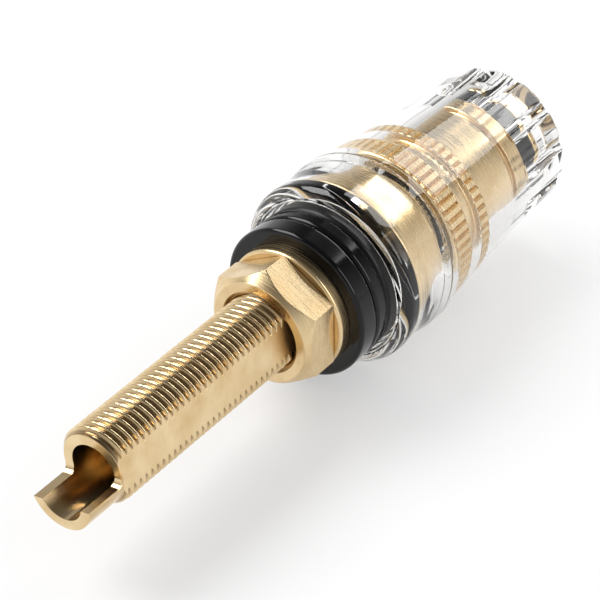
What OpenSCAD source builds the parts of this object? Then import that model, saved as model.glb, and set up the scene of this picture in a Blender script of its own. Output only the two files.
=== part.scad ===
// Panel binding post. A turned post carries a solder cup, a threaded stud with a flat, a
// flange and a stem with a plug socket. A hex nut and washer draw two insulating rings
// onto the panel, a clear base shrouds the flange, and a clear fluted cap, moulded round
// a knurled clamp nut, screws along the stem. Sizes are in millimetres.
// The origin is on the post's axis in the plane of the panel seat, +Y points out of the
// panel towards the cap, and +Z is up.

/* [Stud] */
// Diameter of the threaded stud
stud_d = 8; // [7.4:0.1:9]
// Length of the stud behind the panel seat
stud_l = 32; // [29:0.5:45]
// Depth of the flat milled along the stud
flat_depth = 0.72; // [0.3:0.02:0.9]
// Direction of the flat, in degrees right of straight up, seen from the solder cup
flat_turn = 78; // [-180:1:180]

/* [Solder cup] */
// Step in radius from the stud down to the cup, blended by a chamfer of that size
cup_step = 0.5; // [0.2:0.05:0.6]
// Length of the open half of the cup
cup_l = 4.6; // [3:0.1:8]
// Bore of the cup
cup_bore_d = 5; // [3.6:0.1:5.6]
// Depth of the bore behind the stud's end face
cup_bore_l = 7.5; // [5:0.5:12]
// Height of the cut face below the axis
cup_cut = 0.9; // [0:0.1:1.4]
// Fillet between the cut face and the stud's end face
cup_fillet = 0.8; // [0.3:0.1:1]
// Direction of the cup's opening, in degrees right of straight up
cup_turn = -12; // [-180:1:180]

/* [Nut and washer] */
// Width of the nut across its flats
nut_af = 11.6; // [11:0.1:13]
// Thickness of the nut
nut_t = 4.1; // [3:0.1:6]
// Width of the nut's chamfered border, measured inwards from the corners
nut_chamfer_w = 1.3; // [0.6:0.1:1.6]
// Slope of the nut's chamfer against its face, in degrees
nut_chamfer_a = 45; // [20:1:50]
// Direction of one corner of the nut, in degrees right of straight up
nut_turn = -1; // [-30:1:30]
// Diameter of the flat washer
washer_d = 13.2; // [12:0.1:15]
// Thickness of the flat washer
washer_t = 1.4; // [0.8:0.1:2]

/* [Insulators and gasket] */
// Diameter of both insulating rings
ring_d = 16.2; // [15:0.1:16.4]
// Thickness of the ring behind the panel
rear_ring_t = 2.45; // [2:0.05:3.5]
// Thickness of the ring in front of the panel
front_ring_t = 1.75; // [1.2:0.05:3]
// Edge radius of both rings
ring_round = 0.4; // [0.1:0.05:0.5]
// Diameter of the spigot that centres the front ring in the panel hole
spigot_d = 10.4; // [9.6:0.1:12]
// Length of the spigot
spigot_l = 1.5; // [0.8:0.1:1.7]
// Diameter of the rubber gasket
gasket_d = 16; // [15:0.1:16.3]
// Thickness of the rubber gasket
gasket_t = 2.35; // [1.8:0.05:3]

/* [Clear base] */
// Largest diameter of the base
base_d = 19.94; // [19:0.02:22]
// Depth of the shallow waist round the base
waist = 0.22; // [0:0.02:0.4]
// Depth of the recess that takes the gasket
recess_l = 1.5; // [1:0.1:1.7]
// Radius of the lip round the recess
lip_round = 1.1; // [0.4:0.1:1.1]
// Thickness of the wall that the flange seats on
base_wall_t = 1.3; // [0.8:0.1:2]
// Height of the rim that stands past the flange
rim_l = 0.9; // [0.4:0.1:1.5]

/* [Flange and stem] */
// Diameter of the flange
flange_d = 15.8; // [15:0.1:16.4]
// Thickness of the flange
flange_t = 4.75; // [3:0.05:6]
// Diameter of the threaded stem
stem_d = 7.8; // [7:0.1:8]
// Length of the stem past the flange
stem_l = 19.25; // [18:0.05:19.3]
// Bore of the plug socket
socket_d = 4; // [3.2:0.1:4.4]
// Depth of the plug socket
socket_l = 13.8; // [10:0.1:14]
// Diameter of the cross hole for a bare wire
wire_hole_d = 3.4; // [2:0.1:3.4]

/* [Clamp nut] */
// Diameter of the clamp ring that presses on the wire
clamp_ring_d = 14.2; // [12:0.1:15]
// Thickness of the clamp ring
clamp_ring_t = 0.95; // [0.6:0.05:1.5]
// Diameter of the nut's plain nose
nose_d = 12.8; // [12:0.1:13.2]
// Length of the nose in front of the first knurl
nose_l = 1.4; // [0.8:0.1:2]
// Diameter over the knurled bands
knurl_d = 13.6; // [13:0.1:14.2]
// Number of knurl teeth
knurl_teeth = 48; // [24:1:60]
// Depth of the knurl teeth
knurl_depth = 0.35; // [0.15:0.05:0.5]
// Width of the first knurled band
knurl_1_w = 2.9; // [2:0.1:4]
// Width of the groove between the two knurled bands
knurl_gap_w = 2; // [1:0.1:3]
// Depth of the groove between the two knurled bands
knurl_gap_depth = 0.7; // [0.4:0.05:1]
// Width of the second knurled band
knurl_2_w = 1.6; // [1:0.1:2.5]
// Diameter of the smooth sleeve
sleeve_d = 11.2; // [10.6:0.1:12]
// Length of the smooth sleeve
sleeve_l = 5.7; // [4:0.1:8]
// Width of the groove past the sleeve
groove_w = 0.8; // [0.4:0.1:1.5]
// Depth of the groove past the sleeve
groove_depth = 0.45; // [0.2:0.05:0.6]
// Width of the smooth band past the groove
end_band_w = 2; // [1:0.1:3]
// Diameter of the neck that carries the marker ring
neck_d = 9.2; // [8.8:0.1:9.6]
// Width of the coloured marker ring
marker_w = 2.3; // [1.5:0.1:3]
// Width of the retaining ring
retainer_w = 0.8; // [0.5:0.1:1.2]
// Hole through the nut's end wall for the plug
nut_end_hole_d = 4.6; // [4.5:0.1:6]

/* [Clear cap] */
// Diameter of the cap beside the base
cap_front_d = 19.4; // [18.6:0.1:20]
// Diameter of the cap's far end
cap_end_d = 16.1; // [15.6:0.1:17]
// Power of the curve that the cap tapers along
cap_flare = 1.5; // [1:0.1:2.5]
// Thickness of the cap's end wall
cap_end_t = 2.8; // [1.5:0.1:4]
// Radius of the cap's end edge
cap_end_round = 0.6; // [0.2:0.1:0.8]
// Diameter of the plug hole in the end wall
plug_hole_d = 5.6; // [4.6:0.1:8]
// Number of flutes
flute_count = 12; // [8:1:14]
// Length of the flutes
flute_l = 7.3; // [5:0.1:9]
// Diameter of the round channel that forms a flute
flute_d = 1.9; // [1.2:0.1:2.2]
// Depth of a flute at the cap's far end
flute_depth = 0.55; // [0.2:0.05:0.6]
// Direction of one flute, in degrees right of straight up
flute_turn = 12.6; // [0:0.2:30]

/* [Clearances] */
// Radial play of the two screw threads
thread_play = 0.05; // [0.02:0.01:0.1]
// Radial play of the rings that slide along the stud, and of the flange in the base
slide_play = 0.08; // [0.05:0.01:0.15]
// Gap between flat faces that move against each other
face_play = 0.05; // [0.02:0.01:0.1]
// Gap between the cap and the base
cap_gap = 0.2; // [0.1:0.05:0.5]

/* [Hidden] */
$fn = 96;

// How far a cutter reaches past what it cuts
past = 1;
// Small chamfer that breaks the turned edges
edge = 0.2;
// Number of straight steps in a quarter round, in the waist and in the cap's taper
round_steps = 6;
waist_steps = 12;
taper_steps = 14;
// Half the point angle of a twist drill
drill_half_a = 59;

stud_r = stud_d / 2;
cup_r = stud_r - cup_step;
cup_bore_r = cup_bore_d / 2;
ring_r = ring_d / 2;
base_r = base_d / 2;
flange_r = flange_d / 2;
stem_r = stem_d / 2;
knurl_r = knurl_d / 2;
sleeve_r = sleeve_d / 2;
cap_front_r = cap_front_d / 2;
cap_end_r = cap_end_d / 2;

// Stations along the axis, from the solder cup to the cap's far end
stud_end = -stud_l;
cup_end = stud_end - cup_l;
rear_ring_back = -rear_ring_t;
washer_back = rear_ring_back - washer_t;
nut_seat = washer_back - face_play;
nut_face = nut_seat - nut_t;
gasket_back = front_ring_t;
base_wall = gasket_back + gasket_t;
lip_end = base_wall - recess_l;
flange_back = base_wall + base_wall_t;
flange_front = flange_back + flange_t;
rim_end = flange_front + rim_l;
stem_end = flange_front + stem_l;
clamp_ring_back = flange_front + face_play;
clamp_nut_back = clamp_ring_back + clamp_ring_t + face_play;
cap_back = max(rim_end + cap_gap, clamp_nut_back);
knurl_1 = clamp_nut_back + nose_l;
knurl_gap = knurl_1 + knurl_1_w;
knurl_2 = knurl_gap + knurl_gap_w;
sleeve = knurl_2 + knurl_2_w;
groove = sleeve + sleeve_l;
end_band = groove + groove_w;
neck = end_band + end_band_w;
retainer = neck + marker_w;
clamp_nut_end = retainer + retainer_w;
cap_end = clamp_nut_end + cap_end_t;
wire_hole = rim_end + wire_hole_d / 2 + edge;

// Points of a quarter round about [cr, cz], from angle a0 to angle a1
function arc(cr, cz, r, a0, a1) =
    [for (i = [0:round_steps]) let (a = a0 + (a1 - a0) * i / round_steps)
        [cr + r * cos(a), cz + r * sin(a)]];

// Radius of the cap at station z: a power curve from the front down to the end
function cap_r(z) =
    cap_end_r + (cap_front_r - cap_end_r) * pow(max(0, (cap_end - z) / (cap_end - cap_back)), cap_flare);

// Outline of a straight knurl with flat-topped teeth: four points to a tooth
function knurl_points(r, depth, teeth) =
    [for (i = [0:teeth - 1], p = [[-0.3, 0], [0.3, 0], [0.44, -1], [0.56, -1]])
        let (a = 360 * (i + p[0]) / teeth, q = r + p[1] * depth) [q * cos(a), q * sin(a)]];

// Lays a solid drawn along +Z down along +Y
module lay() { rotate([-90, 0, 0]) children(); }

// Turns a feature drawn towards +X so that it faces up, then degrees to the right
module facing(degrees) { rotate([0, 0, degrees - 90]) children(); }

// The D-shaped hole of a ring that slides along the stud and can't turn on it
module d_hole(z0, z1) {
    difference() {
        translate([0, 0, z0]) cylinder(r = stud_r + slide_play, h = z1 - z0);
        facing(flat_turn)
            translate([stud_r - flat_depth + slide_play, -stud_r - past, z0 - past])
                cube([stud_r, 2 * (stud_r + past), z1 - z0 + 2 * past]);
    }
}

// A ring with rounded outer edges, from station z0 to z1
module round_ring(r, z0, z1, fillet) {
    rotate_extrude()
        polygon(concat([[0, z0]], arc(r - fillet, z0 + fillet, fillet, -90, 0),
                       arc(r - fillet, z1 - fillet, fillet, 0, 90), [[0, z1]]));
}

// The milling cutter's path that opens the solder cup, with its rounded inner corner
module cup_opening() {
    reach = stud_d + 2 * past;
    facing(cup_turn)
        rotate([90, 0, 0])
            linear_extrude(height = reach, center = true)
                difference() {
                    translate([-cup_cut, cup_end - past])
                        square([reach, cup_l + past]);
                    translate([-cup_cut, stud_end - cup_fillet])
                        difference() {
                            square(cup_fillet);
                            translate([cup_fillet, 0]) circle(r = cup_fillet);
                        }
                }
}

module terminal_post() {
    bore_tip = cup_bore_r / tan(drill_half_a);
    flange_mid = (flange_back + flange_front) / 2;
    color("goldenrod")
        lay() difference() {
            union() {
                difference() {
                    rotate_extrude()
                        polygon([[0, cup_end], [cup_r, cup_end], [cup_r, stud_end],
                                 [stud_r, stud_end + cup_step], [stud_r, flange_mid],
                                 [0, flange_mid]]);
                    facing(flat_turn)
                        translate([stud_r - flat_depth, -stud_d, stud_end])
                            cube([stud_r, 2 * stud_d, flange_front - stud_end]);
                }
                rotate_extrude()
                    polygon([[0, flange_back], [flange_r - edge, flange_back],
                             [flange_r, flange_back + edge], [flange_r, flange_front - edge],
                             [flange_r - edge, flange_front], [stem_r, flange_front],
                             [stem_r, stem_end - edge], [stem_r - edge, stem_end],
                             [0, stem_end]]);
            }
            rotate_extrude()
                polygon([[0, cup_end - past], [cup_bore_r, cup_end - past],
                         [cup_bore_r, stud_end + cup_bore_l],
                         [0, stud_end + cup_bore_l + bore_tip]]);
            cup_opening();
            rotate_extrude()
                polygon([[0, stem_end - socket_l], [socket_d / 2, stem_end - socket_l],
                         [socket_d / 2, stem_end - 2 * edge],
                         [socket_d / 2 + 2 * edge + past, stem_end + past],
                         [0, stem_end + past]]);
            translate([0, 0, wire_hole])
                rotate([0, 90, 0]) cylinder(d = wire_hole_d, h = 2 * stem_d, center = true);
        }
}

module mounting_nut() {
    corner_r = nut_af / 2 / cos(30);
    face_r = corner_r - nut_chamfer_w;
    slope = tan(nut_chamfer_a);
    hole_r = stud_r + thread_play;
    color("gold")
        lay() difference() {
            intersection() {
                facing(nut_turn)
                    translate([0, 0, nut_face]) cylinder(r = corner_r, h = nut_t, $fn = 6);
                rotate_extrude()
                    polygon([[0, nut_face - past], [face_r - past / slope, nut_face - past],
                             [corner_r + past, nut_face + (nut_chamfer_w + past) * slope],
                             [corner_r + past, nut_seat + 2 * past], [0, nut_seat + 2 * past]]);
            }
            rotate_extrude()
                polygon([[0, nut_face - past], [hole_r + 2 * edge + past, nut_face - past],
                         [hole_r, nut_face + 2 * edge], [hole_r, nut_seat + past],
                         [0, nut_seat + past]]);
        }
}

module flat_washer() {
    color("khaki")
        lay() difference() {
            rotate_extrude()
                polygon([[0, washer_back], [washer_d / 2 - edge, washer_back],
                         [washer_d / 2, washer_back + edge], [washer_d / 2, rear_ring_back],
                         [0, rear_ring_back]]);
            d_hole(washer_back - past, rear_ring_back + past);
        }
}

module rear_insulator() {
    spigot_room = spigot_l + slide_play;
    color("dimgray")
        lay() difference() {
            round_ring(ring_r, rear_ring_back, 0, ring_round);
            d_hole(rear_ring_back - past, past);
            translate([0, 0, -spigot_room])
                cylinder(r = spigot_d / 2 + slide_play, h = spigot_room + past);
        }
}

module front_insulator() {
    color("gray")
        lay() difference() {
            union() {
                round_ring(ring_r, 0, front_ring_t, ring_round);
                translate([0, 0, -spigot_l]) cylinder(d = spigot_d, h = spigot_l + front_ring_t / 2);
            }
            d_hole(-spigot_l - past, front_ring_t + past);
        }
}

module panel_gasket() {
    color("darkslategray")
        lay() difference() {
            round_ring(gasket_d / 2, gasket_back, base_wall, ring_round);
            translate([0, 0, gasket_back - past])
                cylinder(r = stud_r + slide_play, h = gasket_t + 2 * past);
        }
}

module clear_base() {
    recess_r = ring_r + slide_play + edge;
    lip_r = base_r - edge / 2;
    waist_start = lip_end + lip_round;
    waist_l = (rim_end - waist_start) * 0.75;
    color("lightcyan", 0.5)
        lay() difference() {
            rotate_extrude()
                polygon(concat(
                    [[0, lip_end]], arc(lip_r - lip_round, waist_start, lip_round, -90, 0),
                    [for (i = [1:waist_steps]) let (t = i / waist_steps)
                        [lip_r + (base_r - lip_r) * t - waist * pow(sin(180 * t), 2),
                         waist_start + waist_l * t]],
                    [[base_r, rim_end - edge], [base_r - edge, rim_end], [0, rim_end]]));
            translate([0, 0, lip_end - past]) cylinder(r = recess_r, h = recess_l + past);
            translate([0, 0, lip_end])
                cylinder(r1 = recess_r + edge, r2 = recess_r, h = edge);
            translate([0, 0, base_wall - past])
                cylinder(r = stud_r + slide_play, h = base_wall_t + 2 * past);
            translate([0, 0, flange_back])
                cylinder(r = flange_r + slide_play, h = flange_t + rim_l + past);
        }
}

module clamp_ring() {
    color("palegoldenrod")
        lay() translate([0, 0, clamp_ring_back])
            difference() {
                cylinder(d = clamp_ring_d, h = clamp_ring_t);
                translate([0, 0, -past])
                    cylinder(r = stem_r + slide_play, h = clamp_ring_t + 2 * past);
            }
}

module knurl_band(z0, width) {
    translate([0, 0, z0])
        linear_extrude(height = width) polygon(knurl_points(knurl_r, knurl_depth, knurl_teeth));
}

module clamp_nut() {
    nut_gap_r = knurl_r - knurl_gap_depth;
    color("gold")
        lay() difference() {
            union() {
                rotate_extrude()
                    polygon([[0, clamp_nut_back], [nose_d / 2 - edge, clamp_nut_back],
                             [nose_d / 2, clamp_nut_back + edge], [nose_d / 2, knurl_1],
                             [nut_gap_r, knurl_1], [nut_gap_r, sleeve],
                             [sleeve_r, sleeve], [sleeve_r, groove],
                             [sleeve_r - groove_depth, groove], [sleeve_r - groove_depth, end_band],
                             [sleeve_r, end_band], [sleeve_r, neck],
                             [neck_d / 2, neck], [neck_d / 2, clamp_nut_end], [0, clamp_nut_end]]);
                knurl_band(knurl_1, knurl_1_w);
                knurl_band(knurl_2, knurl_2_w);
            }
            translate([0, 0, clamp_nut_back - past])
                cylinder(r = stem_r + thread_play, h = stem_end + cap_gap - clamp_nut_back + past);
            cylinder(d = nut_end_hole_d, h = clamp_nut_end + past);
        }
}

// A ring pressed onto the clamp nut's neck
module neck_ring(z0, width) {
    translate([0, 0, z0])
        difference() {
            cylinder(r = sleeve_r, h = width);
            translate([0, 0, -past]) cylinder(d = neck_d, h = width + 2 * past);
        }
}

module marker_ring() { color("darkslategray") lay() neck_ring(neck, marker_w); }

module retaining_ring() { color("goldenrod") lay() neck_ring(retainer, retainer_w); }

module clear_cap() {
    flute_axis_r = cap_end_r - flute_depth + flute_d / 2;
    end_fillet_r = cap_r(cap_end - cap_end_round) - cap_end_round;
    taper_l = cap_end - cap_end_round - cap_back;
    color("azure", 0.5)
        lay() difference() {
            rotate_extrude()
                polygon(concat(
                    [[0, cap_back], [cap_front_r - edge, cap_back]],
                    [for (i = [0:taper_steps])
                        let (z = cap_back + edge + (taper_l - edge) * i / taper_steps) [cap_r(z), z]],
                    arc(end_fillet_r, cap_end - cap_end_round, cap_end_round, 15, 90),
                    [[0, cap_end]]));
            translate([0, 0, cap_back - past]) cylinder(r = knurl_r, h = sleeve - cap_back + past);
            translate([0, 0, cap_back])
                cylinder(r = sleeve_r + slide_play, h = clamp_nut_end - cap_back);
            translate([0, 0, clamp_nut_end - past])
                cylinder(d = plug_hole_d, h = cap_end_t + 2 * past);
            translate([0, 0, cap_end - 2 * edge])
                cylinder(r1 = plug_hole_d / 2, r2 = plug_hole_d / 2 + 2 * edge, h = 2 * edge);
            for (i = [0:flute_count - 1])
                facing(flute_turn + 360 * i / flute_count)
                    translate([flute_axis_r, 0, cap_end - flute_l])
                        cylinder(d = flute_d, h = flute_l + past, $fn = 32);
        }
}

terminal_post();
mounting_nut();
flat_washer();
rear_insulator();
front_insulator();
panel_gasket();
clear_base();
clamp_ring();
clamp_nut();
marker_ring();
retaining_ring();
clear_cap();
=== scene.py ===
"""Looks of a panel binding post: gold-plated metal, black rings and clear plastic.

Each sub-assembly is a class that works out its surfaces with numpy and dresses them with a
finish. Sizes are in millimetres: stations run along the post's axis, which is +Y, towards
the cap, and radii are about it. A direction round the axis is in degrees from straight up,
turning towards +X. A mesh is in metres.
"""
import logging
import math
from collections.abc import Callable
from dataclasses import dataclass, field
from enum import Enum

import bmesh
import bpy
import numpy as np
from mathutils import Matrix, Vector


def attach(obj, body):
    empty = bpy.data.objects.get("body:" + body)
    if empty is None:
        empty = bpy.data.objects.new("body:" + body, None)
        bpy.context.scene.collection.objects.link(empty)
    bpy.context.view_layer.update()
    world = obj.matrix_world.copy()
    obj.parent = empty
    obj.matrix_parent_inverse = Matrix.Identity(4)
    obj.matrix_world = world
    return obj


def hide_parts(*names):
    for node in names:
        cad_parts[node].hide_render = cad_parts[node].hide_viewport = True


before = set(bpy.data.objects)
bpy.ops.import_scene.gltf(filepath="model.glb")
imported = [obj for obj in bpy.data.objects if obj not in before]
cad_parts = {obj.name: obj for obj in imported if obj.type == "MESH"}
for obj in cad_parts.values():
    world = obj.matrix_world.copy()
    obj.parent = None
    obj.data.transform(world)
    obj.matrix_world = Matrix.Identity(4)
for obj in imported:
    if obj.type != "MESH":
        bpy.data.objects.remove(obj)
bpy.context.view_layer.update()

MM = 0.001
Colour = tuple[float, float, float]
log = logging.getLogger("binding_post")


# Surfaces ---------------------------------------------------------------------------------

@dataclass(frozen=True)
class Patch:
    """A grid of points that becomes a sheet of quads.

    Attributes:
        points: Array of shape (rows, columns, 3), in millimetres.
        closed_round: True if the last column joins the first.
        closed_along: True if the last row joins the first.
    """

    points: np.ndarray
    closed_round: bool = False
    closed_along: bool = False

    def quads(self, first: int) -> np.ndarray:
        """Corner numbers of the quads between neighbouring rows and columns.

        Args:
            first: Number of the patch's first point in the whole mesh.

        Returns:
            Array of shape (quads, 4).
        """
        rows, columns = self.points.shape[:2]
        row = np.arange(rows if self.closed_along else rows - 1)[:, None]
        column = np.arange(columns if self.closed_round else columns - 1)[None, :]
        above, beside = (row + 1) % rows, (column + 1) % columns
        corners = [row * columns + column, row * columns + beside,
                   above * columns + beside, above * columns + column]
        return first + np.stack([np.broadcast_to(c, np.broadcast_shapes(row.shape, column.shape))
                                 for c in corners], axis=-1).reshape(-1, 4)


def about_axis(radius: np.ndarray, degrees: np.ndarray, station: np.ndarray) -> np.ndarray:
    """Points about the axis: x = radius times sine, y = station, z = radius times cosine.

    Args:
        radius: Distance from the axis.
        degrees: Direction round the axis.
        station: Place along the axis.

    Returns:
        Array with one more dimension than the three arrays spread over each other.
    """
    turn = np.radians(degrees)
    return np.stack(np.broadcast_arrays(radius * np.sin(turn), station + 0 * turn,
                                        radius * np.cos(turn)), axis=-1)


def between(inner: np.ndarray, outer: np.ndarray, steps: int = 2) -> np.ndarray:
    """A ruled sheet: each row lies a further share of the way from one edge to the other."""
    share = np.linspace(0, 1, steps)[:, None, None]
    return inner[None] * (1 - share) + outer[None] * share


def rounded(corners: list[tuple[float, float, float]], steps: int = 5,
            closed: bool = True) -> np.ndarray:
    """A profile whose corners are turned by fillets.

    The line to a corner stops a tangent length short of it, which is the fillet's radius
    times the tangent of half the turn. It then follows a circle of that radius to the next
    line. A point just before and just after each fillet keeps the flat stretches flat in
    shading.

    Args:
        corners: Radius, station and fillet radius of each corner, in order.
        steps: Segments in a fillet.
        closed: True if the profile is a loop; otherwise its two ends stay where they are.

    Returns:
        Array of shape (points, 2) with radius and station.
    """
    out: list[np.ndarray] = []
    places = np.array([c[:2] for c in corners], float)
    count = len(corners)
    for i, (_, _, fillet) in enumerate(corners):
        here = places[i]
        if not closed and i in (0, count - 1) or fillet <= 0:
            out.append(here[None])
            continue
        into = here - places[i - 1]
        onward = places[(i + 1) % count] - here
        into, onward = into / np.linalg.norm(into), onward / np.linalg.norm(onward)
        cross = into[0] * onward[1] - into[1] * onward[0]
        turn = math.atan2(cross, float(into @ onward))
        side = np.array([-into[1], into[0]]) * np.sign(turn)
        start = here - into * fillet * math.tan(abs(turn) / 2)
        angle = np.linspace(0, abs(turn), steps + 1)[:, None]
        arc = start + fillet * (np.sin(angle) * into + (1 - np.cos(angle)) * side)
        ease = 0.08 * fillet
        out.append(np.vstack([arc[:1] - ease * into, arc, arc[-1:] + ease * onward]))
    return np.vstack(out)


def turned(profile: np.ndarray, degrees: np.ndarray, closed: bool = True,
           shape: Callable[..., np.ndarray] | None = None) -> Patch:
    """A profile carried round the axis.

    Args:
        profile: Radius and station of each point of the section.
        degrees: Directions at which the section is repeated.
        closed: True if the section is a loop.
        shape: Changes the radius, given radius, station and direction as arrays.

    Returns:
        The patch, one row for each point of the section.
    """
    radius, station = profile[:, :1], profile[:, 1:]
    spread = np.broadcast_to(radius, (len(profile), len(degrees)))
    if shape is not None:
        spread = shape(spread, station, degrees[None, :])
    return Patch(about_axis(spread, degrees[None, :], station), True, closed)


def directions(count: int, start: float = 0.0) -> np.ndarray:
    """Even directions right round the axis, in degrees."""
    return start + np.arange(count) * 360.0 / count


def build(name: str, patches: list[Patch], crease: float = 32.0) -> bpy.types.Object:
    """Joins patches into one closed mesh object with smooth faces and sharp creases.

    Args:
        name: Name of the object.
        patches: Sheets whose edges meet point for point.
        crease: Edges that turn by more degrees than this are sharp.

    Returns:
        The new object, at the origin.
    """
    points = np.vstack([p.points.reshape(-1, 3) for p in patches]) * MM
    first = np.cumsum([0] + [p.points.shape[0] * p.points.shape[1] for p in patches])
    quads = np.vstack([p.quads(int(n)) for p, n in zip(patches, first)])
    mesh = bpy.data.meshes.new(name)
    mesh.from_pydata(points.tolist(), [], quads.tolist())
    work = bmesh.new()
    work.from_mesh(mesh)
    bmesh.ops.remove_doubles(work, verts=work.verts, dist=3e-7)
    bmesh.ops.dissolve_degenerate(work, edges=work.edges, dist=1e-8)
    bmesh.ops.recalc_face_normals(work, faces=work.faces)
    open_edges = sum(1 for e in work.edges if len(e.link_faces) != 2)
    work.to_mesh(mesh)
    work.free()
    mesh.polygons.foreach_set("use_smooth", np.ones(len(mesh.polygons), bool))
    mesh.set_sharp_from_angle(angle=math.radians(crease))
    thing = bpy.data.objects.new(name, mesh)
    bpy.context.scene.collection.objects.link(thing)
    log.info("%s: %d faces, %d open edges", name, len(mesh.polygons), open_edges)
    return thing


# Finishes ---------------------------------------------------------------------------------

class Nodes:
    """Builds the node tree of one material or world."""

    def __init__(self, tree: bpy.types.NodeTree) -> None:
        """Empties the tree and keeps it."""
        self.tree = tree
        tree.nodes.clear()

    def add(self, kind: str, inputs: dict | None = None, **settings: object) -> bpy.types.Node:
        """Adds a node, sets its options, and sets or links its inputs.

        Args:
            kind: Blender's name of the node, without ShaderNode in front.
            inputs: Input name or number to a value or an output socket.
            settings: Options of the node.

        Returns:
            The new node.
        """
        node = self.tree.nodes.new("ShaderNode" + kind)
        for key, value in settings.items():
            setattr(node, key, value)
        for key, value in (inputs or {}).items():
            if isinstance(value, bpy.types.NodeSocket):
                self.tree.links.new(value, node.inputs[key])
            else:
                node.inputs[key].default_value = value
        return node

    def maths(self, operation: str, a: object, b: object = 0.0) -> bpy.types.NodeSocket:
        """The result of a Math node."""
        return self.add("Math", {0: a, 1: b}, operation=operation).outputs[0]

    def grain(self, vector: bpy.types.NodeSocket, scale: float, detail: float = 2.0,
              roughness: float = 0.5) -> bpy.types.NodeSocket:
        """The value of a noise texture."""
        return self.add("TexNoise", {"Vector": vector, "Scale": scale, "Detail": detail,
                                     "Roughness": roughness}).outputs["Fac"]

    def span(self, value: bpy.types.NodeSocket, low: float, high: float, out_low: float,
             out_high: float) -> bpy.types.NodeSocket:
        """A value moved from one range to another, held at the ends."""
        return self.add("MapRange", {"Value": value, "From Min": low, "From Max": high,
                                     "To Min": out_low, "To Max": out_high}).outputs[0]

    def blend(self, share: object, a: object, b: object) -> bpy.types.NodeSocket:
        """A mix of two colours."""
        node = self.add("Mix", {0: share, 6: a, 7: b}, data_type="RGBA")
        return node.outputs[2]


def opaque(colour: Colour) -> tuple[float, float, float, float]:
    """A colour with full alpha."""
    return (*colour, 1.0)


class Cut(Enum):
    """How the metal's surface was cut, which sets the strength of its fine lines."""

    TURNED = 0.55
    MILLED = 1.0
    POLISHED = 0.25


@dataclass(frozen=True)
class GoldPlate:
    """Gold plating over turned brass, with fine lines round the axis.

    The lines are noise over radius and station, both stretched far more than the place
    round the axis, so that they run round a cylinder and in rings on a flat face. On a
    milled piece the radius has no part in them. Between the two radii given for a thread's
    roots and crests, the colour is darkened inwards towards the groove colour. This is
    painted shade in the thread's roots, left off the milled flat, which is given by its
    direction in degrees and its distance from the axis in metres. The thread starts at
    the station thread_from.
    """

    name: str
    cut: Cut
    colour: Colour = (0.84, 0.66, 0.40)
    deep: Colour = (0.60, 0.40, 0.17)
    # Colour of the painted shade in a thread's roots.
    groove: Colour = (0.16, 0.075, 0.02)
    roughness: float = 0.24
    line_scale: float = 5200.0
    # Radii of a thread's roots and crests; painted shade darkens the colour between them.
    root_shade_span: tuple[float, float] | None = None
    milled_flat: tuple[float, float] = (0.0, 1.0)
    thread_from: float = -1.0

    def material(self) -> bpy.types.Material:
        """Makes the material."""
        found = bpy.data.materials.get(self.name)
        if found is not None:
            return found
        made = bpy.data.materials.new(self.name)
        made.use_nodes = True
        n = Nodes(made.node_tree)
        place = n.add("TexCoord").outputs["Object"]
        axes = n.add("SeparateXYZ", {0: place})
        flat = n.add("CombineXYZ", {0: axes.outputs[0], 2: axes.outputs[2]}).outputs[0]
        reach = n.add("VectorMath", {0: flat}, operation="LENGTH").outputs["Value"]
        across = 0.0 if self.cut is Cut.MILLED else self.line_scale
        along = n.add("CombineXYZ", {
            0: n.maths("MULTIPLY", reach, across),
            1: n.maths("MULTIPLY", axes.outputs[1], self.line_scale),
            2: n.maths("MULTIPLY", axes.outputs[0], 160.0)}).outputs[0]
        lines = n.grain(along, 1.0, 3.0, 0.65)
        cloud = n.grain(place, 330.0, 3.0, 0.55)
        specks = n.grain(place, 2600.0, 2.0, 0.6)
        strength = self.cut.value
        rough = n.maths("ADD", n.span(lines, 0.3, 0.7, self.roughness * (1 - 0.35 * strength),
                                      self.roughness * (1 + 0.7 * strength)),
                        n.span(cloud, 0.35, 0.7, -0.02, 0.05))
        tint = n.blend(n.span(cloud, 0.35, 0.72, 0.0, 0.55), opaque(self.colour),
                       opaque(self.deep))
        tint = n.blend(n.span(lines, 0.35, 0.75, 0.0, 0.28 * strength), tint,
                       opaque(self.deep))
        # Painted shade: in the thread's roots the colour is darkened towards the groove colour,
        # except on the milled flat and before the thread starts.
        if self.root_shade_span is not None:
            root, crest = self.root_shade_span
            turn, away = self.milled_flat
            angle = math.radians(turn)
            out = n.maths("ADD", n.maths("MULTIPLY", axes.outputs[0], math.sin(angle)),
                          n.maths("MULTIPLY", axes.outputs[2], math.cos(angle)))
            off_flat = n.span(out, away - 0.00006, away - 0.00003, 1.0, 0.0)
            on_thread = n.maths("MULTIPLY", n.maths("GREATER_THAN", axes.outputs[1],
                                                    self.thread_from),
                                n.maths("GREATER_THAN", reach, root - 0.0005))
            # Share of painted shade, from most at the root to none at the crest.
            depth = n.maths("MULTIPLY", n.span(reach, root, crest, 0.8, 0.0), off_flat)
            depth = n.maths("MULTIPLY", depth, on_thread)
            tint = n.blend(depth, tint, opaque(self.groove))
            matte = n.maths("MULTIPLY", n.maths("SUBTRACT", 1.0, off_flat), 0.22)
            rough = n.maths("ADD", rough, matte)
        height = n.maths("ADD", n.maths("MULTIPLY", lines, strength),
                         n.maths("MULTIPLY", specks, 0.15))
        bump = n.add("Bump", {"Height": height, "Strength": 0.16, "Distance": 0.00003})
        shader = n.add("BsdfPrincipled", {
            "Base Color": tint, "Metallic": 1.0, "Roughness": rough,
            "Normal": bump.outputs[0]})
        n.add("OutputMaterial", {"Surface": shader.outputs[0]})
        return made


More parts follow.
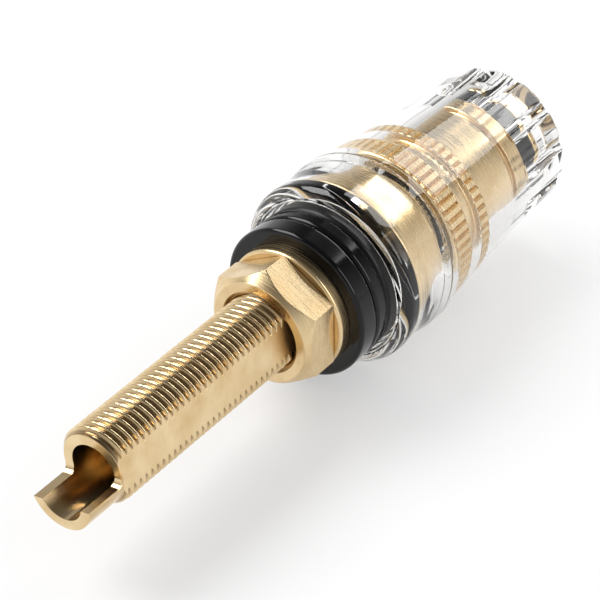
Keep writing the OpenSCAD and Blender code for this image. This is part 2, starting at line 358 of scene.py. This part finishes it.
@dataclass(frozen=True)
class BlackPolymer:
    """Black moulded plastic or rubber, with a faint grain and dust-free sheen."""

    name: str
    colour: Colour = (0.0025, 0.0025, 0.003)
    roughness: float = 0.11
    grain_scale: float = 1500.0
    grain_depth: float = 0.05

    def material(self) -> bpy.types.Material:
        """Makes the material."""
        found = bpy.data.materials.get(self.name)
        if found is not None:
            return found
        made = bpy.data.materials.new(self.name)
        made.use_nodes = True
        n = Nodes(made.node_tree)
        place = n.add("TexCoord").outputs["Object"]
        fine = n.grain(place, self.grain_scale, 3.0, 0.6)
        cloud = n.grain(place, 260.0, 2.0, 0.5)
        rough = n.span(cloud, 0.3, 0.7, self.roughness * 0.85, self.roughness * 1.3)
        lighter = tuple(min(1.0, 2.0 * c + 0.001) for c in self.colour)
        tint = n.blend(n.span(fine, 0.45, 0.75, 0.0, 0.5), opaque(self.colour),
                       opaque(lighter))
        bump = n.add("Bump", {"Height": fine, "Strength": self.grain_depth,
                              "Distance": 0.00004})
        shader = n.add("BsdfPrincipled", {
            "Base Color": tint, "Roughness": rough, "Normal": bump.outputs[0],
            "IOR": 1.5, "Specular IOR Level": 0.3})
        n.add("OutputMaterial", {"Surface": shader.outputs[0]})
        return made


@dataclass(frozen=True)
class ClearPlastic:
    """Clear moulded acrylic: refracts, has slight ripples, and lets lamps through."""

    name: str
    colour: Colour = (0.985, 0.982, 0.97)
    roughness: float = 0.015
    refraction: float = 1.49
    ripple: float = 0.1

    def material(self) -> bpy.types.Material:
        """Makes the material."""
        found = bpy.data.materials.get(self.name)
        if found is not None:
            return found
        made = bpy.data.materials.new(self.name)
        made.use_nodes = True
        n = Nodes(made.node_tree)
        place = n.add("TexCoord").outputs["Object"]
        wave = n.grain(place, 210.0, 1.0, 0.4)
        fine = n.grain(place, 2400.0, 3.0, 0.6)
        rough = n.span(fine, 0.4, 0.75, self.roughness, self.roughness * 3.0)
        bump = n.add("Bump", {"Height": wave, "Strength": self.ripple, "Distance": 0.0004})
        shader = n.add("BsdfPrincipled", {
            "Base Color": opaque(self.colour), "Roughness": rough, "IOR": self.refraction,
            "Transmission Weight": 1.0, "Normal": bump.outputs[0]})
        lamp_ray = n.add("LightPath").outputs["Is Shadow Ray"]
        clear = n.add("BsdfTransparent", {"Color": opaque((0.9, 0.9, 0.89))})
        mixed = n.add("MixShader", {0: lamp_ray, 1: shader.outputs[0], 2: clear.outputs[0]})
        n.add("OutputMaterial", {"Surface": mixed.outputs[0]})
        return made


def dress(thing: bpy.types.Object, finish: "GoldPlate | BlackPolymer | ClearPlastic") -> None:
    """Gives a piece its finish."""
    thing.data.materials.clear()
    thing.data.materials.append(finish.material())


GOLD_TURNED = GoldPlate("gold_turned", Cut.TURNED)
GOLD_MILLED = GoldPlate("gold_milled", Cut.MILLED, roughness=0.22)
GOLD_POLISHED = GoldPlate("gold_polished", Cut.POLISHED, roughness=0.12)
BLACK_RING = BlackPolymer("black_ring")
BLACK_RUBBER = BlackPolymer("black_rubber", roughness=0.32, grain_depth=0.15)
CLEAR = ClearPlastic("clear_acrylic")


# Sub-assemblies ---------------------------------------------------------------------------

@dataclass
class TerminalPost:
    """The turned post: solder cup, threaded stud with its flat, flange and stem."""

    cup_end: float = -36.6
    stud_end: float = -32.0
    stud_r: float = 4.0
    cup_r: float = 3.5
    bore_r: float = 2.5
    bore_middle: float = -28.0
    bore_end: float = -24.5
    cut_height: float = -0.9
    cut_fillet: float = 0.8
    cup_turn: float = -12.0
    flat_turn: float = 78.0
    flat_reach: float = 3.28
    pitch: float = 0.8
    thread_depth: float = 0.4
    fine_end: float = -7.6
    thread_end: float = -1.4
    flange_back: float = 5.4
    flange_front: float = 10.15
    flange_r: float = 7.9
    stem_r: float = 3.9
    stem_end: float = 29.4
    stem_pitch: float = 1.0
    stem_depth: float = 0.45
    socket_r: float = 2.0
    socket_end: float = 15.6
    drill_half_angle: float = 59.0

    def cut_at(self, station: np.ndarray) -> np.ndarray:
        """Height of the cup's cut face: level, then up a quarter circle to the end face."""
        into = np.clip((station - (self.stud_end - self.cut_fillet)) / self.cut_fillet, 0, 1)
        return self.cut_height + self.cut_fillet * (1 - np.sqrt(1 - into ** 2))

    def columns(self) -> tuple[np.ndarray, np.ndarray]:
        """Directions of the stud's columns, relative to the cup's open side.

        The first run spans the part of the end face above the cut, the second the part
        joined to the cup. Both are closer together beside the milled flat's edges.

        Returns:
            The directions of the first run and of the second run.
        """
        rim = math.degrees(math.acos(float(self.cut_at(np.array(self.stud_end))) / self.cup_r))
        first = np.concatenate([np.linspace(-rim, 54, 51)[:-1], np.linspace(54, 69, 21)[:-1],
                                np.linspace(69, rim, 9)])
        second = np.concatenate([np.linspace(rim, 111, 8)[:-1], np.linspace(111, 126, 21)[:-1],
                                 np.linspace(126, 360 - rim, 51)])
        return first, second

    def thread(self, station: np.ndarray, degrees: np.ndarray, radius: float, depth: float,
               pitch: float) -> np.ndarray:
        """Radius of a right-hand screw thread.

        The place in the turn is station over pitch less direction over a full turn. A
        triangle wave of it, eased at crest and root, times the depth, is added to the root.
        """
        place = station / pitch - degrees / 360.0
        wave = np.abs(2 * (place - np.floor(place)) - 1)
        share = np.clip((wave - 0.1) / 0.8, 0, 1)
        eased = 0.45 * share + 0.55 * share * share * (3 - 2 * share)
        return radius - depth * (1 - eased)

    def flat_limit(self, degrees: np.ndarray) -> np.ndarray:
        """Radius at which each direction meets the milled flat.

        It is the flat's distance from the axis over the cosine of the direction's angle to
        it. Directions that turn away from the flat have no limit.
        """
        towards = np.cos(np.radians(degrees - self.flat_turn))
        least = 0.2
        return np.where(towards > least, self.flat_reach / np.maximum(towards, least), np.inf)

    def cup_patches(self) -> list[Patch]:
        """The half-open cup, its cut faces, the stud's end face and the blind bore."""
        first, second = self.columns()
        rim_o = self.cup_r
        flat_rows = np.linspace(self.cup_end, self.stud_end - self.cut_fillet, 8)
        turn_rows = self.stud_end - self.cut_fillet * (1 - np.sin(np.linspace(0, math.pi / 2, 9)))
        rows = np.concatenate([flat_rows, turn_rows[1:]])[:, None]
        cut = self.cut_at(rows)
        spread = (second - 180.0) / (180.0 - second[0])
        outer_deg = 180.0 + (180.0 - np.degrees(np.arccos(cut / rim_o))) * spread[None, :]
        inner_deg = 180.0 + (180.0 - np.degrees(np.arccos(cut / self.bore_r))) * spread[None, :]
        turn = self.cup_turn
        outer = about_axis(rim_o, outer_deg + turn, rows)
        inner = about_axis(self.bore_r, inner_deg + turn, rows)
        rim_i = math.degrees(math.acos(float(cut[-1, 0]) / self.bore_r))
        face_in = about_axis(self.bore_r, first * rim_i / first[-1] + turn, self.stud_end)
        face_out = about_axis(rim_o, first + turn, self.stud_end)
        bore_deg = np.concatenate([first[:-1] * rim_i / first[-1], inner_deg[-1, :-1]]) + turn
        tip = self.bore_end + self.bore_r / math.tan(math.radians(self.drill_half_angle))
        bore_line = np.array([[self.bore_r, self.stud_end], [self.bore_r, self.bore_middle],
                              [self.bore_r, self.bore_end], [0.0, tip]])
        return [Patch(outer), Patch(inner),
                Patch(between(inner[:, 0], outer[:, 0])), Patch(between(inner[:, -1],
                                                                        outer[:, -1])),
                Patch(between(inner[0], outer[0])), Patch(between(face_in, face_out)),
                turned(bore_line, bore_deg, closed=False)]

    def stud(self) -> bpy.types.Object:
        """The stud: its radius is the thread's, held to the end chamfer and to the flat."""
        first, second = self.columns()
        degrees = np.concatenate([first[:-1], second[:-1]]) + self.cup_turn
        fine = np.arange(self.stud_end, self.fine_end, self.pitch / 12)
        coarse = np.arange(self.fine_end, self.thread_end, self.pitch / 8)
        inside_end = self.flange_back + 0.1
        rows = np.concatenate([fine, coarse, [self.thread_end, self.thread_end,
                                              inside_end]])[:, None]
        radius = self.thread(rows, degrees[None, :], self.stud_r, self.thread_depth, self.pitch)
        radius = np.minimum(radius, self.cup_r + (rows - self.stud_end))
        radius[0] = self.cup_r
        radius[-2:] = self.stud_r
        flat = self.flat_limit(degrees)[None, :]
        radius = np.where(rows > self.stud_end + 1e-6, np.minimum(radius, flat), radius)
        wall = Patch(about_axis(radius, degrees[None, :], rows), True)
        end = turned(np.array([[self.stud_r, inside_end], [0.0, inside_end]]), degrees,
                     closed=False, shape=lambda r, s, d: np.minimum(r, flat))
        return build("post_stud", self.cup_patches() + [wall, end], crease=40.0)

    def stem(self) -> bpy.types.Object:
        """The flange and the stem with its thread and plug socket."""
        degrees = directions(192)
        back = rounded([(0, self.flange_back, 0), (self.flange_r, self.flange_back, 0.25),
                        (self.flange_r, self.flange_front, 0.25),
                        (self.stem_r, self.flange_front, 0)], closed=False)
        rows = np.arange(self.flange_front, self.stem_end - 0.4, self.stem_pitch / 8)
        thread = np.stack([np.full_like(rows, self.stem_r), rows], axis=1)
        front = rounded([(self.stem_r, self.stem_end - 0.3, 0), (self.stem_r - 0.3,
                                                                 self.stem_end, 0),
                         (self.socket_r + 0.4, self.stem_end, 0),
                         (self.socket_r, self.stem_end - 0.4, 0),
                         (self.socket_r, self.socket_end, 0), (0, self.socket_end, 0)],
                        closed=False)
        profile = np.vstack([back[:-1], thread, front])
        low, high = len(back) - 1, len(back) - 1 + len(thread)

        def threaded(radius: np.ndarray, station: np.ndarray, angle: np.ndarray) -> np.ndarray:
            """Puts the thread on the stem's rows only."""
            out = np.array(radius)
            part = self.thread(station[low:high], angle, self.stem_r, self.stem_depth,
                               self.stem_pitch)
            out[low:high] = part
            return out

        return build("post_stem", [turned(profile, degrees, closed=False, shape=threaded)],
                     crease=40.0)

    def make(self) -> list[bpy.types.Object]:
        """Builds and dresses the post."""
        # The thread's gold, with painted shade in its roots.
        thread_gold = GoldPlate(
            "gold_thread_shaded_roots", Cut.POLISHED, roughness=0.16,
            root_shade_span=((self.stud_r - 0.45) * MM, (self.stud_r - 0.12) * MM),
            milled_flat=(self.flat_turn, self.flat_reach * MM),
            thread_from=(self.stud_end + 0.05) * MM)
        pieces = [self.stud(), self.stem()]
        for piece, finish in zip(pieces, (thread_gold, GOLD_TURNED)):
            dress(piece, finish)
            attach(piece, "post")
            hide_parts("terminal_post")
        return pieces


@dataclass
class Fastening:
    """The hex nut and the flat washer behind the panel."""

    nut_af: float = 11.6
    nut_face: float = -8.0
    nut_seat: float = -3.9
    chamfer_w: float = 1.3
    nut_turn: float = -1.0
    hole_r: float = 4.05
    washer_r: float = 6.6
    washer_back: float = -3.85
    washer_front: float = -2.45

    def hex_radius(self, degrees: np.ndarray) -> np.ndarray:
        """Radius of the hexagon: its half width over the greatest cosine to a face."""
        faces = np.radians(degrees[None, :] - self.nut_turn - 30.0 - np.array([[0], [60], [120]]))
        return self.nut_af / 2 / np.max(np.abs(np.cos(faces)), axis=0)

    def nut(self) -> bpy.types.Object:
        """The nut: each direction has a section from the hole over the chamfer to the flat."""
        degrees = directions(360, self.nut_turn)
        side = self.hex_radius(degrees)
        corner = self.nut_af / 2 / math.cos(math.radians(30))
        inner = corner - self.chamfer_w
        drop = side - inner
        soft = 0.06
        one = np.ones_like(side)
        radii = [self.hole_r * one, (self.hole_r + 0.4) * one, (inner - soft) * one,
                 (inner + soft * 0.6) * one, side - soft * 0.6, side, side, side, side - soft,
                 (self.hole_r + 0.3) * one, self.hole_r * one]
        middle = (self.nut_face + self.nut_seat) / 2 + 0.4
        places = [(self.nut_face + 0.4) * one, self.nut_face * one, self.nut_face * one,
                  (self.nut_face + soft * 0.6) * one, self.nut_face + drop - soft * 0.6,
                  self.nut_face + drop + soft, middle * one,
                  (self.nut_seat - soft) * one, self.nut_seat * one, self.nut_seat * one,
                  (self.nut_seat - 0.3) * one]
        radius, station = np.stack(radii), np.stack(places)
        patch = Patch(about_axis(radius, degrees[None, :], station), True, True)
        return build("hex_nut", [patch], crease=12.0)

    def washer(self) -> bpy.types.Object:
        """The washer, with its back edge rounded by stamping."""
        line = rounded([(self.hole_r, self.washer_back, 0.05),
                        (self.washer_r, self.washer_back, 0.3),
                        (self.washer_r, self.washer_front, 0.12),
                        (self.hole_r, self.washer_front, 0.05)])
        return build("plain_washer", [turned(line, directions(192))])

    def make(self) -> list[bpy.types.Object]:
        """Builds and dresses the nut and the washer."""
        nut, washer = self.nut(), self.washer()
        dress(nut, GOLD_MILLED)
        dress(washer, GOLD_MILLED)
        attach(nut, "nut")
        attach(washer, "rear_stack")
        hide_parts("mounting_nut")
        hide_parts("flat_washer")
        return [nut, washer]


@dataclass
class PanelRings:
    """The two insulating rings and the rubber gasket."""

    ring_r: float = 8.1
    bore_r: float = 4.08
    rear_back: float = -2.45
    front_front: float = 1.75
    spigot_r: float = 5.2
    spigot_l: float = 1.5
    gasket_r: float = 8.0
    gasket_front: float = 4.09
    round_r: float = 0.4

    def make(self) -> list[bpy.types.Object]:
        """Builds and dresses the rings."""
        f = self.round_r
        rear = rounded([(self.bore_r, self.rear_back, 0.1), (self.ring_r, self.rear_back, f),
                        (self.ring_r, -0.01, f), (self.spigot_r + 0.08, -0.01, 0.1),
                        (self.spigot_r + 0.08, -self.spigot_l - 0.08, 0),
                        (self.bore_r, -self.spigot_l - 0.08, 0)])
        front = rounded([(self.bore_r, -self.spigot_l, 0.1), (self.spigot_r, -self.spigot_l, 0.1),
                         (self.spigot_r, 0.01, 0), (self.ring_r, 0.01, f),
                         (self.ring_r, self.front_front, f), (self.bore_r, self.front_front, 0)])
        gasket = rounded([(self.bore_r, self.front_front + 0.01, 0.1),
                          (self.gasket_r, self.front_front + 0.01, 0.5),
                          (self.gasket_r, self.gasket_front, 0.5),
                          (self.bore_r, self.gasket_front, 0.1)])
        around = directions(192)
        pieces = []
        for name, line, node, body, slot, finish in (
                ("rear_ring", rear, "rear_insulator", "rear_stack", "black_plastic", BLACK_RING),
                ("front_ring", front, "front_insulator", "post", "black_plastic", BLACK_RING),
                ("gasket_ring", gasket, "panel_gasket", "post", "gasket_rubber", BLACK_RUBBER)):
            piece = build(name, [turned(line, around)])
            dress(piece, finish)
            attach(piece, body)
            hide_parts(node)
            pieces.append(piece)
        return pieces


@dataclass
class ClearBase:
    """The clear shroud round the flange, with its rounded lip and shallow waist."""

    lip_end: float = 2.6
    lip_r: float = 9.87
    base_r: float = 9.97
    lip_round: float = 1.1
    waist: float = 0.22
    rim_end: float = 11.05
    recess_r: float = 8.38
    wall_back: float = 4.1
    wall_front: float = 5.39
    bore_r: float = 4.08
    flange_room_r: float = 7.98

    def make(self) -> list[bpy.types.Object]:
        """Builds and dresses the base.

        Between the lip's round and three quarters of the way to the rim, the radius grows
        evenly less the waist's depth times a squared sine.
        """
        start = self.lip_end + self.lip_round
        length = (self.rim_end - start) * 0.75
        t = np.linspace(0, 1, 25)[1:]
        side = np.stack([self.lip_r + (self.base_r - self.lip_r) * t
                         - self.waist * np.sin(np.pi * t) ** 2, start + length * t], axis=1)
        lip = rounded([(self.recess_r + 0.4, self.lip_end, 0), (self.lip_r, self.lip_end,
                                                                self.lip_round),
                       (self.lip_r, start + 0.2, 0)], steps=10, closed=False)[:-1]
        rest = rounded([(self.base_r, start + length, 0), (self.base_r, self.rim_end, 0.12),
                        (self.flange_room_r, self.rim_end, 0.12),
                        (self.flange_room_r, self.wall_front, 0.15),
                        (self.bore_r, self.wall_front, 0.1), (self.bore_r, self.wall_back, 0.1),
                        (self.recess_r, self.wall_back, 0.25), (self.recess_r, self.lip_end, 0.2),
                        (self.recess_r + 0.4, self.lip_end, 0)], closed=False)
        line = np.vstack([lip, side[:-1], rest[:-1]])
        piece = build("clear_shroud", [turned(line, directions(256))])
        dress(piece, CLEAR)
        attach(piece, "post")
        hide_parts("clear_base")
        return [piece]


@dataclass
class ClampCap:
    """The clear fluted cap, the knurled clamp nut inside it and the rings on its neck."""

    ring_back: float = 10.2
    ring_front: float = 11.15
    ring_r: float = 7.1
    stem_room_r: float = 3.98
    nut_back: float = 11.2
    nose_r: float = 6.4
    knurl_r: float = 6.8
    teeth: int = 48
    tooth_depth: float = 0.35
    knurl_1: float = 12.6
    knurl_gap: float = 15.5
    knurl_2: float = 17.5
    sleeve: float = 19.1
    gap_r: float = 6.1
    sleeve_r: float = 5.6
    groove: float = 24.8
    groove_depth: float = 0.45
    end_band: float = 25.6
    neck: float = 27.6
    neck_r: float = 4.6
    retainer: float = 29.9
    nut_end: float = 30.7
    nut_bore_r: float = 3.95
    thread_end: float = 29.6
    end_hole_r: float = 2.3
    cap_back: float = 11.25
    cap_end: float = 33.5
    front_r: float = 9.7
    end_r: float = 8.05
    flare: float = 1.5
    end_round: float = 0.6
    plug_hole_r: float = 2.8
    flutes: int = 12
    flute_l: float = 7.3
    flute_r: float = 0.95
    flute_depth: float = 0.55
    flute_turn: float = 12.6
    columns_per_flute: int = 30

    def knurled(self, radius: np.ndarray, station: np.ndarray, degrees: np.ndarray
                ) -> np.ndarray:
        """Cuts the knurl: a triangle wave round the axis, held flat at the tooth's top."""
        place = degrees * self.teeth / 360.0
        wave = np.abs(2 * (place - np.floor(place)) - 1)
        cut = self.tooth_depth * np.clip(1 - wave / 0.42, 0, 1)
        return radius - cut * (radius > self.gap_r + 0.45)

    def clamp_nut(self) -> bpy.types.Object:
        """The clamp nut, one section carried round and knurled where it is widest."""
        k, e = self.knurl_r, 0.15
        line = rounded([
            (self.nut_bore_r, self.nut_back, 0.1), (self.nose_r, self.nut_back, 0.25),
            (self.nose_r, self.knurl_1, 0), (k, self.knurl_1 + 0.02, e),
            (k, self.knurl_gap, e), (self.gap_r, self.knurl_gap + 0.02, 0.2),
            (self.gap_r, self.knurl_2 - 0.02, 0.2), (k, self.knurl_2, e),
            (k, self.sleeve, e), (self.sleeve_r, self.sleeve + 0.02, 0.1),
            (self.sleeve_r, self.groove, 0.12), (self.sleeve_r - self.groove_depth,
                                                 self.groove + 0.02, 0.1),
            (self.sleeve_r - self.groove_depth, self.end_band - 0.02, 0.1),
            (self.sleeve_r, self.end_band, 0.12), (self.sleeve_r, self.neck, 0.1),
            (self.neck_r, self.neck, 0), (self.neck_r, self.nut_end, 0.1),
            (self.end_hole_r, self.nut_end, 0.1), (self.end_hole_r, self.thread_end, 0),
            (self.nut_bore_r, self.thread_end, 0)])
        piece = build("knurled_nut", [turned(line, directions(self.teeth * 8),
                                             shape=self.knurled)], crease=34.0)
        dress(piece, GOLD_TURNED)
        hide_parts("clamp_nut")
        return piece

    def small_ring(self, name: str, node: str, inner: float, outer: float, back: float,
                   front: float, fillet: float) -> bpy.types.Object:
        """A plain ring with filleted edges."""
        line = rounded([(inner, back, 0.04), (outer, back, fillet), (outer, front, fillet),
                        (inner, front, 0.04)])
        piece = build(name, [turned(line, directions(160))])
        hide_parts(node)
        return piece

    def outer_r(self, station: np.ndarray) -> np.ndarray:
        """Radius of the cap: its end's, plus the growth times a power of the distance."""
        share = np.clip((self.cap_end - station) / (self.cap_end - self.cap_back), 0, 1)
        return self.end_r + (self.front_r - self.end_r) * share ** self.flare

    def fluted(self, radius: np.ndarray, station: np.ndarray, degrees: np.ndarray
               ) -> np.ndarray:
        """Cuts the flutes: the near side of a circle about a line along the cap.

        Along a direction that passes the circle's centre at a distance, the cut's radius is
        the foot of the centre on it less the half chord.
        """
        axis = self.end_r - self.flute_depth + self.flute_r
        step = 360.0 / self.flutes
        away = np.radians((degrees - self.flute_turn + step / 2) % step - step / 2)
        miss = axis * np.sin(away)
        chord = np.sqrt(np.maximum(self.flute_r ** 2 - miss ** 2, 0))
        cut = np.where(np.abs(miss) < self.flute_r, axis * np.cos(away) - chord, 99.0)
        outside = (station > self.cap_end - self.flute_l) & (radius > self.knurl_r)
        return np.where(outside, np.minimum(radius, cut), radius)

    def cap(self) -> bpy.types.Object:
        """The cap: tapered and fluted outside, moulded against the knurl inside."""
        flute_start = self.cap_end - self.flute_l
        a = np.linspace(self.cap_back + 0.25, flute_start - 0.001, 26)
        b = np.linspace(flute_start + 0.001, self.cap_end - self.end_round - 0.02, 14)
        taper = np.concatenate([a, b])
        edge_r = float(self.outer_r(np.array(self.cap_end - self.end_round))) - self.end_round
        turn = np.linspace(0.2, math.pi / 2, 8)
        end = np.stack([edge_r + self.end_round * np.cos(turn),
                        self.cap_end - self.end_round + self.end_round * np.sin(turn)], axis=1)
        inside = self.gap_r + 0.2
        rest = rounded([
            (edge_r, self.cap_end, 0), (self.plug_hole_r, self.cap_end, 0.3),
            (self.plug_hole_r, self.nut_end + 0.01, 0.1),
            (self.sleeve_r + 0.08, self.nut_end + 0.01, 0.2),
            (self.sleeve_r + 0.08, self.sleeve - 0.3, 0), (inside, self.sleeve - 0.3, 0),
            (inside, self.knurl_2 + 0.15, 0), (self.knurl_r - 0.02, self.knurl_2 + 0.15, 0.2),
            (self.knurl_r - 0.02, self.knurl_gap - 0.15, 0.2), (inside, self.knurl_gap - 0.15, 0),
            (inside, self.knurl_1 + 0.15, 0), (self.knurl_r, self.knurl_1 + 0.15, 0.1),
            (self.knurl_r, self.cap_back, 0.15), (self.front_r, self.cap_back, 0.2),
            (self.front_r - 0.02, self.cap_back + 0.25, 0)], closed=False)
        line = np.vstack([np.stack([self.outer_r(taper), taper], axis=1), end[:-1],
                          rest[:-1]])
        count = self.flutes * self.columns_per_flute
        piece = build("clear_fluted_cap", [turned(line, directions(count, self.flute_turn),
                                                  shape=self.fluted)], crease=38.0)
        dress(piece, CLEAR)
        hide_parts("clear_cap")
        return piece

    def make(self) -> list[bpy.types.Object]:
        """Builds and dresses the cap and what turns with it."""
        nut = self.clamp_nut()
        marker = self.small_ring("black_marker_ring", "marker_ring", self.neck_r,
                                 self.sleeve_r, self.neck + 0.01, self.retainer - 0.01, 0.15)
        keeper = self.small_ring("thin_gold_ring", "retaining_ring", self.neck_r,
                                 self.sleeve_r, self.retainer, self.nut_end, 0.2)
        cap = self.cap()
        dress(marker, BLACK_RING)
        dress(keeper, GOLD_POLISHED)
        clamp = self.small_ring("wire_clamp_ring", "clamp_ring", self.stem_room_r, self.ring_r,
                                self.ring_back, self.ring_front, 0.12)
        dress(clamp, GOLD_TURNED)
        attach(clamp, "cap_carriage")
        for piece in (nut, marker, keeper, cap):
            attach(piece, "cap")
        return [nut, marker, keeper, cap, clamp]


# Studio -----------------------------------------------------------------------------------

@dataclass(frozen=True)
class Lamp:
    """One soft square lamp, aimed at a point on the post."""

    name: str
    place: tuple[float, float, float]
    side: float
    watts: float
    colour: Colour = (1.0, 1.0, 1.0)
    depth: float | None = None
    aim: tuple[float, float, float] = (0.0, 0.0, 0.0)

    def make(self) -> bpy.types.Object:
        """Hangs the lamp."""
        data = bpy.data.lights.new(self.name, "AREA")
        data.energy = self.watts
        data.color = self.colour
        data.shape = "RECTANGLE"
        data.size = self.side
        data.size_y = self.depth or self.side
        lamp = bpy.data.objects.new(self.name, data)
        lamp.location = self.place
        lamp.rotation_euler = (Vector(self.aim) - Vector(self.place)).to_track_quat(
            "-Z", "Y").to_euler()
        bpy.context.scene.collection.objects.link(lamp)
        return lamp


@dataclass
class Studio:
    """The pale floor, the soft lamps, the pale surround and the camera."""

    floor_z: float = -0.00999
    floor_half: float = 1.6
    camera_place: tuple[float, float, float] = (0.11385, -0.15316, 0.14847)
    camera_elevation: float = 38.08
    camera_azimuth: float = 36.9
    lens: float = 150.0
    lamps: tuple[Lamp, ...] = field(default_factory=lambda: (
        Lamp("key_softbox", (-0.24, -0.06, 0.26), 0.3, 1.3, depth=0.2),
        Lamp("back_softbox", (0.02, 0.36, 0.24), 0.34, 0.9, depth=0.2),
        Lamp("side_softbox", (0.3, 0.06, 0.2), 0.14, 0.4, depth=0.24)))

    def floor(self) -> None:
        """A wide pale floor, a little lifted for the camera and for what mirrors it."""
        half = self.floor_half
        mesh = bpy.data.meshes.new("floor")
        mesh.from_pydata([(-half, -half, self.floor_z), (half, -half, self.floor_z),
                          (half, half, self.floor_z), (-half, half, self.floor_z)], [],
                         [(0, 1, 2, 3)])
        thing = bpy.data.objects.new("floor", mesh)
        bpy.context.scene.collection.objects.link(thing)
        made = bpy.data.materials.new("pale_floor")
        made.use_nodes = True
        n = Nodes(made.node_tree)
        shader = n.add("BsdfPrincipled", {"Base Color": opaque((0.8, 0.8, 0.8)),
                                          "Roughness": 0.75,
                                          "Specular IOR Level": 0.2})
        glow = n.add("Emission", {"Color": opaque((1, 1, 1)), "Strength": 0.95})
        path = n.add("LightPath")
        seen = n.maths("MAXIMUM", path.outputs["Is Camera Ray"],
                       n.maths("MAXIMUM", path.outputs["Is Glossy Ray"],
                               path.outputs["Is Transmission Ray"]))
        mixed = n.add("MixShader", {0: n.maths("MULTIPLY", seen, 0.45), 1: shader.outputs[0],
                                    2: glow.outputs[0]})
        n.add("OutputMaterial", {"Surface": mixed.outputs[0]})
        mesh.materials.append(made)

    def surround(self) -> None:
        """A pale surround that darkens overhead, and a plain grey for soft light."""
        world = bpy.data.worlds.new("surround")
        bpy.context.scene.world = world
        world.use_nodes = True
        n = Nodes(world.node_tree)
        way = n.add("TexCoord").outputs["Generated"]
        up = n.add("SeparateXYZ", {0: way}).outputs[2]
        shade = n.span(up, 0.05, 0.6, 0.95, 0.12)
        grey = n.add("CombineXYZ", {0: shade, 1: shade, 2: shade}).outputs[0]
        path = n.add("LightPath")
        seen = n.maths("MAXIMUM", path.outputs["Is Camera Ray"],
                       n.maths("MAXIMUM", path.outputs["Is Glossy Ray"],
                               path.outputs["Is Transmission Ray"]))
        colour = n.blend(seen, opaque((0.42, 0.42, 0.43)), grey)
        back = n.add("Background", {"Color": colour, "Strength": 1.0})
        n.add("OutputWorld", {"Surface": back.outputs[0]})

    def camera(self) -> None:
        """The camera, level from side to side."""
        data = bpy.data.cameras.new("camera")
        data.lens = self.lens
        data.sensor_width = 36.0
        data.clip_start = 0.01
        data.clip_end = 10.0
        thing = bpy.data.objects.new("camera", data)
        thing.location = self.camera_place
        thing.rotation_euler = (math.radians(90 - self.camera_elevation), 0,
                                math.radians(self.camera_azimuth))
        bpy.context.scene.collection.objects.link(thing)
        bpy.context.scene.camera = thing

    def make(self) -> None:
        """Sets the stage."""
        self.camera()
        self.floor()
        self.surround()
        for lamp in self.lamps:
            lamp.make()
        bpy.context.scene.view_settings.view_transform = "Standard"


def main() -> None:
    """Builds the stage and each sub-assembly in turn."""
    logging.basicConfig(level=logging.INFO, format="%(name)s %(message)s")
    Studio().make()
    for maker in (TerminalPost(), Fastening(), PanelRings(), ClearBase(), ClampCap()):
        for piece in maker.make():
            log.info("made %s", piece.name)


if __name__ == "__main__":
    main()
